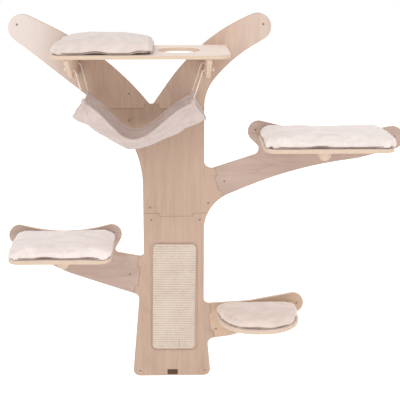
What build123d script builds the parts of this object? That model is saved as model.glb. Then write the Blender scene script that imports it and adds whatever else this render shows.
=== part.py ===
from build123d import *
import math
import os

# A wall-hung cat tree: flat plywood panels make the tree, boards stand out of it as perches.
# X runs to the right, Y into the wall, Z up. The origin is on the wall, at the middle of the
# trunk's bottom edge. All sizes are in millimetres.

# ---- driving dimensions: wood ---------------------------------------------------------------
panel_thickness = 12
board_thickness = 12
bracket_thickness = 15
eased_edge = 1.2

trunk_width = 218
trunk_joint_height = 637
crown_height = 1020
foot_flare_left = 46
foot_flare_right = 27
foot_corner = 24

left_branch_height = 474
right_branch_height = 805
low_branch_height = 288
joint_tongue = 11
crown_tab_width = 51
crown_tab_height = 16

lobe_radius = 38
limb_tip_radius = 48

# ---- driving dimensions: perches and shelf --------------------------------------------------
top_shelf_width = 573
top_shelf_middle = -103.5
top_shelf_depth = 300
top_shelf_height = 1242
porthole_diameter = 140
porthole_from_right = 164
porthole_depth = 152

right_perch_width = 433
right_perch_depth = 240
left_perch_width = 348
left_perch_depth = 240
low_perch_width = 290
low_perch_depth = 202
perch_corner = 42
shelf_corner = 50
half_moon_back_corner = 12
half_moon_bend_share = 0.44

right_perch_from_trunk = 191
right_perch_above_branch = 119
left_perch_from_trunk = 103
left_perch_above_branch = 72
low_perch_from_trunk = 48
low_perch_below_branch = 19

bracket_reach = 290
bracket_heel = 91
bracket_nose = 14
bracket_nose_round = 8
bracket_front_round = 6
bracket_lobe_reach = 168
bracket_lobe_drop = 80
bracket_lobe_round = 24
bracket_waist_reach = 105
bracket_waist_drop = 66
bracket_waist_round = 40
left_bracket_inset = 64
right_bracket_inset = 75
dowel_diameter = 40
dowel_nose_round = 3
perch_dowel_length = 180
low_dowel_length = 120
right_dowel_inset = 207
left_dowel_inset = 180

# ---- driving dimensions: soft goods ---------------------------------------------------------
top_cushion_height = 54
perch_cushion_height = 42
low_cushion_height = 38
cushion_gap = 0.4
cushion_corner = 34
cushion_off_panel = 6
cushion_off_front = 1
cushion_from_porthole = 4
cushion_from_shelf_end = 4
perch_cushion_overhang = 5
cushion_top_round = 0.42
cushion_bottom_round = 0.2
hammock_rope_drop = 103
left_rope_splay = 34
right_rope_splay = 42
hammock_rim_sag = 122
hammock_belly = 42
hammock_end_droop = 64
hammock_end_bulge = 40
hammock_lowest = 0.44
hammock_below_cuffs = 14
hammock_cloth = 6
rope_diameter = 4.5
rope_hole_diameter = 10
rear_rope_depth = 25
front_rope_depth = 195
rope_hole_below_board = 44
rope_past_bracket = 1
rope_bend_start = 9
knot_radius = 6.5
knot_gap = 0.4
cuff_radius = 6.5
cuff_length = 22
cuff_lip = 3
cuff_clearance = 2.4

# ---- driving dimensions: scratching mat, plate and fasteners --------------------------------
mat_width = 157
mat_length = 410
mat_thickness = 5
mat_corner = 17
mat_tilt = 0.8
recess_margin = 8
recess_depth = 3
recess_bottom = 102
staple_crown = 10
staple_wire = 0.9
staple_flat = 1.2
staple_inset = 11
plate_width = 38
plate_height = 19
plate_corner = 2
plate_thickness = 1.4
plate_middle_height = 15.5

wall_screw_head = 7.6
wall_screw_shank = 4.4
wall_screw_thread = 5.6
wall_screw_reach = 38
wood_screw_head = 8
wood_screw_shank = 4
wood_screw_length = 45
screw_clearance = 0.2
pilot_clearance = 0.05
pin_diameter = 8
pin_length = 24
pin_share_in_shelf = 0.6

# ---- places that follow from them -----------------------------------------------------------
right_edge = trunk_width / 2
left_edge = -right_edge
panel_face = -panel_thickness

shelf_left = top_shelf_middle - top_shelf_width / 2
shelf_right = top_shelf_middle + top_shelf_width / 2
shelf_under = top_shelf_height - board_thickness
porthole_x = shelf_right - porthole_from_right
bracket_xs = (shelf_left + left_bracket_inset, shelf_right - right_bracket_inset)

right_perch_start = right_edge + right_perch_from_trunk
right_perch_end = right_perch_start + right_perch_width
right_perch_height = right_branch_height + right_perch_above_branch
left_perch_end = left_edge - left_perch_from_trunk
left_perch_start = left_perch_end - left_perch_width
left_perch_height = left_branch_height + left_perch_above_branch
low_perch_start = right_edge + low_perch_from_trunk
low_perch_end = low_perch_start + low_perch_width
low_perch_height = low_branch_height - low_perch_below_branch

hole_height = shelf_under - rope_hole_below_board
front_rope_y = panel_face - front_rope_depth
rear_rope_y = panel_face - rear_rope_depth
cuff_height = hole_height - hammock_rope_drop
hammock_left = bracket_xs[0] + left_rope_splay
hammock_right = bracket_xs[1] - right_rope_splay


# ---- flat outlines --------------------------------------------------------------------------
LOBE = "lobe"


def touch_point(point, centre, radius, side):
    """Where a line from a point touches a disc: side is 1 on the way in and -1 on the way out."""
    away = point - centre
    angle = math.atan2(away.Y, away.X) + side * math.acos(radius / away.length)
    return centre + Vector(math.cos(angle), math.sin(angle)) * radius


def outline(corners):
    """A face in its own plane, walked counter-clockwise along lines and tangent arcs.

    Each corner is (u, v, radius). A lobe is (u, v, radius, LOBE): the outline goes round a disc.
    """
    edges = []
    stops = []
    count = len(corners)
    for i in range(count):
        here = Vector(*corners[i][:2])
        radius = corners[i][2]
        before = Vector(*corners[i - 1][:2])
        after = Vector(*corners[(i + 1) % count][:2])
        if LOBE in corners[i - 1]:
            before = touch_point(here, before, corners[i - 1][2], -1)
        if LOBE in corners[(i + 1) % count]:
            after = touch_point(here, after, corners[(i + 1) % count][2], 1)
        if LOBE in corners[i]:
            first = touch_point(before, here, radius, 1)
            last = touch_point(after, here, radius, -1)
            begin = math.atan2(first.Y - here.Y, first.X - here.X)
            sweep = (math.atan2(last.Y - here.Y, last.X - here.X) - begin) % (2 * math.pi)
            turn = begin + sweep / 2
            middle = here + Vector(math.cos(turn), math.sin(turn)) * radius
        elif radius > 0:
            inward = (before - here).normalized()
            onward = (after - here).normalized()
            half = math.radians(inward.get_angle(onward) / 2)
            first = here + inward * (radius / math.tan(half))
            last = here + onward * (radius / math.tan(half))
            middle = here + (inward + onward).normalized() * (radius / math.sin(half) - radius)
        else:
            first = last = here
        if radius > 0:
            edges.append(ThreePointArc(first, middle, last))
        stops.append((first, last))
    for i in range(count):
        edges.append(Line(stops[i - 1][1], stops[i][0]))
    return make_face(edges)


def slab(corners, thickness):
    """A flat piece on the wall."""
    return extrude(Plane.XZ * outline(corners), amount=thickness)


# ---- the tree's outline ---------------------------------------------------------------------
def foot():
    return [
        (left_edge - foot_flare_left, 0, foot_corner),
        (right_edge + foot_flare_right, 0, foot_corner),
    ]


def low_right_branch():
    z = low_branch_height
    lobe_x = low_perch_end - 9
    return [
        (right_edge + 13, z - 139, 25),
        (right_edge + 106, z - 127, 200),
        (lobe_x, z, lobe_radius, LOBE),
        (right_edge + 165, z + 8, 300),
        (right_edge, z - 2, 19),
    ]


def right_branch():
    z = right_branch_height
    end = right_perch_end
    return [
        (right_edge, z - 134, 145),
        (right_edge + 314, z, 1400),
        (end - 78, z + 33, 150),
        (end + 42, z + 106, lobe_radius + 3, LOBE),
        (end - 183, z + 108, 900),
        (right_perch_start + 1, z + 131, lobe_radius, LOBE),
        (right_perch_start + 23, z + 58, 23),
        (right_edge, z - 12, 26),
    ]


def upper_right_limb():
    z = crown_height
    return [
        (right_edge, z + 62, 160),
        (right_edge + 94, z + 174, 505),
        (right_edge + 181, z + 283, limb_tip_radius - 1, LOBE),
        (right_edge + 43, z + 273, 620),
        (right_edge - 89, z + 145, 700),
    ]


def crown_notch():
    z = crown_height + crown_tab_height
    return [(left_edge + 39, z, 0), (left_edge + 26, z, 0)]


def upper_left_limb():
    z = crown_height
    return [
        (left_edge - 112, z + 190, 964),
        (left_edge - 403, z + 279, limb_tip_radius, LOBE),
        (left_edge, z - 106, 365),
    ]


def left_branch():
    z = left_branch_height
    return [
        (left_edge, z - 3, 13),
        (left_edge - 111, z + 18, 14),
        (left_perch_end - 13, z + 84, lobe_radius - 1, LOBE),
        ((left_perch_start + left_perch_end) / 2, z + 80, 540),
        (left_perch_start + 5, z + 84, lobe_radius - 1, LOBE),
        (left_perch_start + 153, z - 52, 500),
        (left_edge - 18, z - 150, 22),
    ]


def joint_line(bottom, top, tongue, start=0.2, end=0.72, overshoot=24):
    """A seam from below an outline to above it, with one step out to the side and back."""
    low = Vector(*bottom)
    high = Vector(*top)
    along = high - low
    beyond = along.normalized() * overshoot
    side = Vector(tongue, 0)
    return [
        low - beyond,
        low + along * start,
        low + along * start + side,
        low + along * end + side,
        low + along * end,
        high + beyond,
    ]


def region(points):
    """Everything inside a polygon of wall points, as deep as the panels."""
    return extrude(Plane.XZ * make_face(Polyline(*points, close=True)), amount=panel_thickness)


def branch_region(seam, far, low, high):
    """The side of a seam that reaches out to far, between two heights."""
    top = seam[-1]
    return region([*seam, (top.X, high), (far, high), (far, low)])


def panels():
    """The seven panels: one outline cut apart along its seams."""
    tree = slab(
        [
            *foot(),
            *low_right_branch(),
            *right_branch(),
            *upper_right_limb(),
            *crown_notch(),
            *upper_left_limb(),
            *left_branch(),
        ],
        panel_thickness,
    )
    far = 1400
    low_seam = joint_line(
        (right_edge + 41, low_branch_height - 136),
        (right_edge + 24, low_branch_height),
        -joint_tongue,
    )
    right_seam = joint_line(
        (right_edge + 70, right_branch_height - 107),
        (right_edge + 38, right_branch_height),
        -joint_tongue,
    )
    left_seam = joint_line(
        (left_edge - 37.5, left_branch_height - 142),
        (left_edge - 19.5, left_branch_height),
        joint_tongue,
    )
    low = branch_region(low_seam, far, low_branch_height - 220, low_branch_height + 110)
    right = branch_region(right_seam, far, right_branch_height - 170, right_branch_height + 200)
    left = branch_region(left_seam, -far, left_branch_height - 200, left_branch_height + 140)
    stem = tree - low - right - left

    tongue_left = left_edge + 57
    tongue_right = right_edge - 38
    lower = region(
        [
            (-far, trunk_joint_height),
            (tongue_left, trunk_joint_height),
            (tongue_left, trunk_joint_height - joint_tongue),
            (tongue_right, trunk_joint_height - joint_tongue),
            (tongue_right, trunk_joint_height),
            (far, trunk_joint_height),
            (far, -far),
            (-far, -far),
        ]
    )
    tab_left = left_edge + 8
    tab_right = tab_left + crown_tab_width
    tab_top = crown_height + crown_tab_height
    above = [
        (tab_left, tab_top),
        (tab_left, crown_height),
        (-far, crown_height),
        (-far, 2 * far),
    ]
    notch = left_edge + 32.5
    upper_left = region([(notch, 2 * far), (notch, tab_top), *above])
    upper_right = region(
        [
            (notch, 2 * far),
            (notch, tab_top),
            (tab_right, tab_top),
            (tab_right, crown_height),
            (far, crown_height),
            (far, 2 * far),
        ]
    )
    return {
        "lower_trunk_panel": stem & lower,
        "middle_trunk_panel": stem - lower - upper_left - upper_right,
        "upper_left_limb": stem & upper_left,
        "upper_right_limb": stem & upper_right,
        "left_branch_panel": tree & left,
        "right_branch_panel": tree & right,
        "low_branch_panel": tree & low,
    }


def ease_front(panel):
    """Round the edges that face into the room."""
    front = panel.faces().sort_by(Axis.Y)[0]
    return fillet(front.edges(), eased_edge)


# ---- boards, brackets and dowels ------------------------------------------------------------
def ease_board(plank):
    """Round a board's edges, but for those against the panels."""
    rims = plank.faces().sort_by(Axis.Z)
    loose = [
        edge
        for face in (rims[0], rims[-1])
        for edge in face.edges()
        if edge.center().Y < panel_face - 0.01
    ]
    return fillet(loose, eased_edge)


def board(start, end, depth, top, front_corner):
    """A shelf board that stands out of the panels' faces."""
    front = panel_face - depth
    corners = [
        (start, panel_face, 0),
        (start, front, front_corner),
        (end, front, front_corner),
        (end, panel_face, 0),
    ]
    plan = Plane.XY.offset(top - board_thickness) * outline(corners)
    return ease_board(extrude(plan, amount=board_thickness))


def top_shelf():
    plank = board(shelf_left, shelf_right, top_shelf_depth, top_shelf_height, shelf_corner)
    porthole = Cylinder(porthole_diameter / 2, 3 * board_thickness)
    return plank - Pos(porthole_x, panel_face - porthole_depth, top_shelf_height) * porthole


def bracket(inner_face, outward):
    """A gusset under the top shelf, with two holes for the hammock's ropes.

    Its lower edge slopes from the front down to a lobe below the front hole, and on to the heel.
    """
    front = panel_thickness + bracket_reach
    lobe = panel_thickness + bracket_lobe_reach
    waist = panel_thickness + bracket_waist_reach
    corners = [
        (panel_thickness, shelf_under, 0),
        (front, shelf_under, bracket_front_round),
        (front, shelf_under - bracket_nose, bracket_nose_round),
        (lobe, shelf_under - bracket_lobe_drop, bracket_lobe_round),
        (waist, shelf_under - bracket_waist_drop, bracket_waist_round),
        (panel_thickness, shelf_under - bracket_heel, 0),
    ]
    profile = Plane((inner_face, 0, 0), x_dir=(0, -1, 0), z_dir=(-1, 0, 0)) * outline(corners)
    gusset = extrude(profile, amount=-outward * bracket_thickness)
    for y in (front_rope_y, rear_rope_y):
        hole = Cylinder(rope_hole_diameter / 2, 3 * bracket_thickness)
        gusset -= Pos(inner_face, y, hole_height) * Rot(0, 90, 0) * hole
    return gusset


def along_y(radius, length, x, start, z):
    """A round bar that runs towards the room from Y = start."""
    bar = Cylinder(radius, length, align=(Align.CENTER, Align.CENTER, Align.MIN))
    return Pos(x, start, z) * Rot(90, 0, 0) * bar


def dowel(x, board_top, length):
    """A round support under a perch."""
    z = board_top - board_thickness - dowel_diameter / 2
    rod = along_y(dowel_diameter / 2, length, x, panel_face, z)
    nose = rod.faces().sort_by(Axis.Y)[0]
    return fillet(nose.edges(), dowel_nose_round)


# ---- screws and pins ------------------------------------------------------------------------
def turned(profile):
    """A round piece about the Y axis from (radius, y) points."""
    return revolve(make_face(Polyline(*profile, close=True)), Axis.Y)


def wall_screw(grow=0):
    """Its head is flush with the panel's face, its thread stands out into the wall."""
    head = wall_screw_head / 2 + grow
    shank = wall_screw_shank / 2
    thread = wall_screw_thread / 2
    if grow:
        hole = thread + grow
        sunk = panel_face + head - hole
        return turned([(0, panel_face), (head, panel_face), (hole, sunk), (hole, 0), (0, 0)])
    sunk = panel_face + head - shank
    tip = wall_screw_reach
    return turned(
        [
            (0, panel_face),
            (head, panel_face),
            (shank, sunk),
            (shank, 0),
            (thread, 0),
            (thread, tip - 6),
            (0.4, tip),
            (0, tip),
        ]
    )


def wood_screw(grow=0):
    """Driven from the back of a panel, with its head flush with the wall plane."""
    head = wood_screw_head / 2 + grow
    shank = wood_screw_shank / 2 + grow
    tip = -wood_screw_length - grow
    return turned([(0, 0), (head, 0), (shank, shank - head), (shank, tip + 5), (0.4, tip), (0, tip)])


def at_all(places, piece):
    return [Pos(x, 0, z) * piece for x, z in places]


wall_screw_places = {
    "lower_trunk_panel": [
        (left_edge - 19, 20),
        (right_edge + 5, 20),
        (left_edge + 28, trunk_joint_height - 25),
        (right_edge - 15, trunk_joint_height - 25),
    ],
    "middle_trunk_panel": [
        (left_edge + 25, trunk_joint_height + 22),
        (right_edge + 15, trunk_joint_height + 37),
        (left_edge - 45, crown_height - 42),
        (right_edge - 22, crown_height - 34),
    ],
    "upper_left_limb": [
        (left_edge - 422, crown_height + 292),
        (left_edge - 45, crown_height + 52),
    ],
    "upper_right_limb": [
        (right_edge + 201, crown_height + 292),
        (right_edge - 40, crown_height + 52),
    ],
    "left_branch_panel": [
        (left_edge - 52, left_branch_height - 69),
        (left_perch_end - 6, left_branch_height + 92),
        (left_perch_start + 2, left_branch_height + 92),
    ],
    "right_branch_panel": [
        (right_edge + 72, right_branch_height - 50),
        (right_perch_start - 11, right_branch_height + 137),
        (right_perch_end + 50, right_branch_height + 110),
    ],
    "low_branch_panel": [
        (right_edge + 46, low_branch_height - 100),
        (low_perch_end + 5, low_branch_height),
    ],
}


def spread(start, end, height, count, margin):
    """Evenly spaced screw places along the back edge of a board."""
    step = (end - start - 2 * margin) / (count - 1)
    return [(start + margin + i * step, height - board_thickness / 2) for i in range(count)]


top_shelf_screw_places = [
    *spread(shelf_left, shelf_left + 90, top_shelf_height, 2, 12),
    *spread(shelf_right - 62, shelf_right, top_shelf_height, 2, 12),
]
right_perch_screw_places = spread(right_perch_start, right_perch_end, right_perch_height, 4, 40)
left_perch_screw_places = spread(left_perch_start, left_perch_end, left_perch_height, 3, 45)
low_perch_screw_places = spread(low_perch_start, low_perch_end, low_perch_height, 3, 45)
right_dowel_x = right_perch_start + right_dowel_inset
left_dowel_x = left_perch_start + left_dowel_inset
low_dowel_x = low_perch_start + low_perch_width / 2
dowel_screw_places = [
    (x, top - board_thickness - dowel_diameter / 2)
    for x, top in (
        (right_dowel_x, right_perch_height),
        (left_dowel_x, left_perch_height),
        (low_dowel_x, low_perch_height),
    )
]
bracket_middles = (
    bracket_xs[0] - bracket_thickness / 2,
    bracket_xs[1] + bracket_thickness / 2,
)
bracket_screw_places = [
    (x, shelf_under - bracket_heel * share) for x in bracket_middles for share in (0.28, 0.76)
]
pin_places = [
    (x, panel_face - bracket_reach * share) for x in bracket_middles for share in (0.35, 0.85)
]


def bracket_pin(x, y, grow=0):
    """A wooden pin between a bracket's top edge and the shelf above it."""
    in_shelf = board_thickness * pin_share_in_shelf
    below = pin_length - in_shelf + grow
    above = in_shelf + grow
    pin = Cylinder(
        pin_diameter / 2 + grow, below + above, align=(Align.CENTER, Align.CENTER, Align.MIN)
    )
    return Pos(x, y, shelf_under - below) * pin


# ---- scratching mat and plate ---------------------------------------------------------------
recess_width = mat_width + 2 * recess_margin
recess_length = mat_length + 2 * recess_margin
mat_middle = recess_bottom + recess_length / 2
plate_middle_x = (foot_flare_right - foot_flare_left) / 2 + 2.5


def rounded_plate(width, height, radius, thickness):
    """A flat piece with round corners that faces the room."""
    return extrude(Plane.XZ * RectangleRounded(width, height, radius), amount=thickness)


def recess():
    """What is cut from the trunk for the mat: twice as thick as deep, to clear the face."""
    corner = mat_corner + recess_margin * 0.7
    plate = rounded_plate(recess_width, recess_length, corner, 2 * recess_depth)
    return Pos(0, panel_face + recess_depth, mat_middle) * plate


def scratching_mat():
    """Sits on the recess's floor, a little askew, and stands proud of the trunk."""
    plate = rounded_plate(mat_width, mat_length, mat_corner, mat_thickness)
    seat = panel_face + recess_depth
    return Pos(0, seat, mat_middle) * Rot(0, mat_tilt, 0) * plate


def mat_staple(x, z, turn):
    """The crown of a staple that lies on the mat."""
    crown = Box(staple_crown, staple_wire, staple_flat)
    y = panel_face + recess_depth - mat_thickness - staple_wire / 2
    return Pos(x, y, z) * Rot(0, turn, 0) * crown


def mat_staples():
    """Three along each end of the mat and three down each side."""
    side = mat_width / 2 - staple_inset
    end = mat_length / 2 - staple_inset
    across = [(x, z) for x in (-side * 0.7, 8, side * 0.7) for z in (-end, end)]
    down = [(x, z) for x in (-side, side) for z in (-end * 0.55, 0, end * 0.55)]
    return [
        *(mat_staple(x, mat_middle + z, 0) for x, z in across),
        *(mat_staple(x, mat_middle + z, 90) for x, z in down),
    ]


def name_plate():
    """A blank plate at the foot."""
    plate = rounded_plate(plate_width, plate_height, plate_corner, plate_thickness)
    return Pos(plate_middle_x, panel_face, plate_middle_height) * plate


# ---- cushions -------------------------------------------------------------------------------
def cushion(corners, seat, height):
    """A soft pad whose plan has corners (x, y, radius)."""
    pad = extrude(Plane.XY.offset(seat + cushion_gap) * outline(corners), amount=height)
    top = pad.faces().sort_by(Axis.Z)[-1]
    pad = fillet(top.edges(), height * cushion_top_round)
    underside = pad.faces().sort_by(Axis.Z)[0]
    return fillet(underside.edges(), height * cushion_bottom_round)


def square_cushion(start, end, depth, seat, height):
    """A cushion that is as deep as its board."""
    back = panel_face - cushion_off_panel
    front = panel_face - depth + cushion_off_front
    return cushion(
        [
            (start, back, cushion_corner),
            (start, front, cushion_corner),
            (end, front, cushion_corner),
            (end, back, cushion_corner),
        ],
        seat,
        height,
    )


def half_moon(back, inset, back_corner):
    """The low perch's plan: a straight back and a round front, inset from the board's rim."""
    start = low_perch_start + inset
    end = low_perch_end - inset
    front = panel_face - low_perch_depth + inset
    bend = low_perch_width * half_moon_bend_share - inset
    return [(start, back, back_corner), (start, front, bend), (end, front, bend), (end, back, back_corner)]


def low_perch_board():
    plan = outline(half_moon(panel_face, 0, half_moon_back_corner))
    return ease_board(extrude(Plane.XY.offset(low_perch_height - board_thickness) * plan, board_thickness))


# ---- hammock --------------------------------------------------------------------------------
def hammock_point(along, across):
    """A point of the sling: along runs left to right and across rear to front, both 0 to 1."""
    span = hammock_lowest if along < hammock_lowest else 1 - hammock_lowest
    hang = 1 - ((along - hammock_lowest) / span) ** 2
    belly = 4 * across * (1 - across)
    cross_sag = hammock_end_droop + (hammock_belly - hammock_end_droop) * hang
    bulge = hammock_end_bulge * belly * (2 * along - 1) * abs(2 * along - 1)
    x = hammock_left + (hammock_right - hammock_left) * along + bulge
    y = rear_rope_y + (front_rope_y - rear_rope_y) * across
    z = cuff_height - hammock_below_cuffs - hammock_rim_sag * hang - cross_sag * belly
    return Vector(x, y, z)


def hammock_sling():
    steps_along = 12
    steps_across = 8
    grid = [
        [hammock_point(i / steps_along, j / steps_across) for j in range(steps_across + 1)]
        for i in range(steps_along + 1)
    ]
    skin = Face.make_surface_from_array_of_points(grid)
    return Solid.thicken(skin, hammock_cloth)


def hammock_corners():
    return [(x, y) for x in (hammock_left, hammock_right) for y in (rear_rope_y, front_rope_y)]


def cuff_sleeve(x, y, grow=0):
    """The outside of a gathered corner of the sling."""
    top_aligned = (Align.CENTER, Align.CENTER, Align.MAX)
    sleeve = Cone(cuff_radius + 1.5 + grow, cuff_radius + grow, cuff_length + grow, align=top_aligned)
    return Pos(x, y, cuff_height + cuff_lip) * sleeve


def corner_cuff(x, y):
    """The sling's gathered corner, bound round the rope's end and open at the top."""
    top_aligned = (Align.CENTER, Align.CENTER, Align.MAX)
    bore = Cylinder(rope_diameter / 2 + cuff_clearance, 3 * cuff_lip, align=top_aligned)
    return cuff_sleeve(x, y) - Pos(x, y, cuff_height + cuff_lip) * bore


def rope(bracket_face, inward, y):
    """From the knot outside a bracket, through its hole and down to a corner of the sling."""
    outside = bracket_face - inward * (bracket_thickness + rope_past_bracket)
    corner_x = hammock_left if inward > 0 else hammock_right
    route = [
        (outside, y, hole_height),
        (bracket_face + inward * rope_bend_start, y, hole_height),
        (corner_x, y, cuff_height),
    ]
    down = Vector(*route[2]) - Vector(*route[1])
    turn = math.radians(Vector(inward, 0, 0).get_angle(down))
    first_run = rope_past_bracket + bracket_thickness + rope_bend_start
    bend = 0.45 * first_run / math.tan(turn / 2)
    print("rope bend radius", round(bend, 1))
    path = FilletPolyline(*route, radius=bend)
    section = Plane(origin=path @ 0, z_dir=path % 0) * Circle(rope_diameter / 2)
    return sweep(section, path=path)


def stopper_knot(bracket_face, inward, y):
    """The knot that keeps a rope from pulling through its hole, bored for the rope's end."""
    face = bracket_face - inward * (bracket_thickness + knot_gap)
    ball = Sphere(knot_radius)
    bore = Pos(inward * knot_radius, 0, 0) * Rot(0, 90, 0) * Cylinder(rope_diameter / 2, 2.4 * knot_radius)
    return Pos(face - inward * knot_radius, y, hole_height) * (ball - bore)


# ---- everything together --------------------------------------------------------------------
def build():
    parts = {name: ease_front(panel) for name, panel in panels().items()}
    screws = wall_screw()
    hole = wall_screw(screw_clearance)
    wood = wood_screw()
    through = wood_screw(screw_clearance)
    pilot = wood_screw(pilot_clearance)

    for name, places in wall_screw_places.items():
        for cutter in at_all(places, hole):
            parts[name] -= cutter
    parts["wall_screws"] = [
        screw for places in wall_screw_places.values() for screw in at_all(places, screws)
    ]

    parts["top_shelf"] = top_shelf()
    parts["right_perch_board"] = board(
        right_perch_start, right_perch_end, right_perch_depth, right_perch_height, perch_corner
    )
    parts["left_perch_board"] = board(
        left_perch_start, left_perch_end, left_perch_depth, left_perch_height, perch_corner
    )
    parts["low_perch_board"] = low_perch_board()
    parts["left_bracket"] = bracket(bracket_xs[0], -1)
    parts["right_bracket"] = bracket(bracket_xs[1], 1)
    parts["right_perch_dowel"] = dowel(right_dowel_x, right_perch_height, perch_dowel_length)
    parts["left_perch_dowel"] = dowel(left_dowel_x, left_perch_height, perch_dowel_length)
    parts["low_perch_dowel"] = dowel(low_dowel_x, low_perch_height, low_dowel_length)

    fixings = {
        "top_shelf_screws": (top_shelf_screw_places, ["top_shelf"]),
        "right_perch_screws": (right_perch_screw_places, ["right_perch_board"]),
        "left_perch_screws": (left_perch_screw_places, ["left_perch_board"]),
        "low_perch_screws": (low_perch_screw_places, ["low_perch_board"]),
        "bracket_screws": (bracket_screw_places, ["left_bracket", "right_bracket"]),
        "dowel_screws": (dowel_screw_places, ["right_perch_dowel", "left_perch_dowel", "low_perch_dowel"]),
    }
    behind = [
        "upper_left_limb",
        "upper_right_limb",
        "left_branch_panel",
        "right_branch_panel",
        "low_branch_panel",
    ]
    for name, (places, held) in fixings.items():
        for cutter in at_all(places, through):
            for panel in behind:
                if boxes_meet(cutter, parts[panel]):
                    parts[panel] -= cutter
        for cutter in at_all(places, pilot):
            for piece in held:
                if boxes_meet(cutter, parts[piece]):
                    parts[piece] -= cutter
        parts[name] = at_all(places, wood)

    parts["bracket_pins"] = [bracket_pin(x, y) for x, y in pin_places]
    for x, y in pin_places:
        socket = bracket_pin(x, y, pilot_clearance)
        near = "left_bracket" if x < 0 else "right_bracket"
        parts[near] -= socket
        parts["top_shelf"] -= socket

    parts["lower_trunk_panel"] -= recess()
    parts["scratching_mat"] = scratching_mat()
    parts["mat_staples"] = mat_staples()
    parts["name_plate"] = name_plate()

    parts["top_cushion"] = square_cushion(
        shelf_left + cushion_from_shelf_end,
        porthole_x - porthole_diameter / 2 - cushion_from_porthole,
        top_shelf_depth,
        top_shelf_height,
        top_cushion_height,
    )
    parts["right_cushion"] = square_cushion(
        right_perch_start,
        right_perch_end + perch_cushion_overhang,
        right_perch_depth,
        right_perch_height,
        perch_cushion_height,
    )
    parts["left_cushion"] = square_cushion(
        left_perch_start - perch_cushion_overhang,
        left_perch_end + perch_cushion_overhang,
        left_perch_depth,
        left_perch_height,
        perch_cushion_height,
    )
    parts["low_cushion"] = cushion(
        half_moon(panel_face - cushion_off_panel, cushion_off_front, cushion_corner),
        low_perch_height,
        low_cushion_height,
    )

    parts["hammock_sling"] = hammock_sling()
    for x, y in hammock_corners():
        parts["hammock_sling"] -= cuff_sleeve(x, y, 0.2)
    parts["hammock_cuffs"] = [corner_cuff(x, y) for x, y in hammock_corners()]
    for side, face, inward in (("left", bracket_xs[0], 1), ("right", bracket_xs[1], -1)):
        for place, y in (("front", front_rope_y), ("rear", rear_rope_y)):
            parts[f"{place}_{side}_rope"] = rope(face, inward, y)
            parts[f"{place}_{side}_knot"] = stopper_knot(face, inward, y)
    return parts


def boxes_meet(one, other):
    """Whether two pieces' boxes share some space."""
    a = one.bounding_box()
    b = other.bounding_box()
    return (
        a.min.X < b.max.X
        and b.min.X < a.max.X
        and a.min.Y < b.max.Y
        and b.min.Y < a.max.Y
        and a.min.Z < b.max.Z
        and b.min.Z < a.max.Z
    )


os.makedirs("parts", exist_ok=True)
for name, shape in build().items():
    solids = shape if isinstance(shape, list) else [shape]
    export_step(Compound(children=[s for piece in solids for s in piece.solids()]), f"parts/{name}.step")
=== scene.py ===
import math

import bpy
from mathutils import Euler, Matrix, Vector, noise
from mathutils.bvhtree import BVHTree


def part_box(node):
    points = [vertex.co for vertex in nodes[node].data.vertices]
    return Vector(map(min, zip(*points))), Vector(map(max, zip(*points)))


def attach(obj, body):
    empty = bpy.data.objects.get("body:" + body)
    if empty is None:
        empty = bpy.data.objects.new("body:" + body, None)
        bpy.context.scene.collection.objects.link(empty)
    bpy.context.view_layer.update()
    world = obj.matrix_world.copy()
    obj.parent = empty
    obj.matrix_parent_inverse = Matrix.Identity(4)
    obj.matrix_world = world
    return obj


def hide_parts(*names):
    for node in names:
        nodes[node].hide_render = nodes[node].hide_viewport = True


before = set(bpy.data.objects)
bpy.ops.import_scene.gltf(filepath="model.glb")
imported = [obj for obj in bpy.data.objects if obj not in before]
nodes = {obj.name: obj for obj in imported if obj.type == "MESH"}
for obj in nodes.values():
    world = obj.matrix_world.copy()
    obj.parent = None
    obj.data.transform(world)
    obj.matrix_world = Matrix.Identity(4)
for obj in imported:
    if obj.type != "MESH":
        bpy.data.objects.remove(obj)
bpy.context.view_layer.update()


# ---- small helpers --------------------------------------------------------------------------
def shade_smooth(obj):
    for polygon in obj.data.polygons:
        polygon.use_smooth = True


def new_mesh_object(name, verts, faces):
    mesh = bpy.data.meshes.new(name)
    mesh.from_pydata([tuple(v) for v in verts], [], faces)
    mesh.update()
    obj = bpy.data.objects.new(name, mesh)
    bpy.context.scene.collection.objects.link(obj)
    shade_smooth(obj)
    return obj


def grid_faces(rows, columns, wrap_rows=False, wrap_columns=False, offset=0):
    """Quads over a grid of rows times columns points, numbered row by row."""
    faces = []
    for i in range(rows if wrap_rows else rows - 1):
        for j in range(columns if wrap_columns else columns - 1):
            i2 = (i + 1) % rows
            j2 = (j + 1) % columns
            faces.append(
                (
                    offset + i * columns + j,
                    offset + i * columns + j2,
                    offset + i2 * columns + j2,
                    offset + i2 * columns + j,
                )
            )
    return faces


def smoothstep(low, high, value):
    """0 up to low, 1 from high on, and a smooth rise between them."""
    t = min(1.0, max(0.0, (value - low) / (high - low)))
    return t * t * (3 - 2 * t)


def apply_modifiers(obj):
    """Leaves the piece as its evaluated mesh, with no modifiers on it."""
    graph = bpy.context.evaluated_depsgraph_get()
    made = bpy.data.meshes.new_from_object(obj.evaluated_get(graph))
    obj.modifiers.clear()
    old = obj.data
    obj.data = made
    bpy.data.meshes.remove(old)


def set_material(obj, material):
    obj.data.materials.clear()
    obj.data.materials.append(material)


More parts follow.
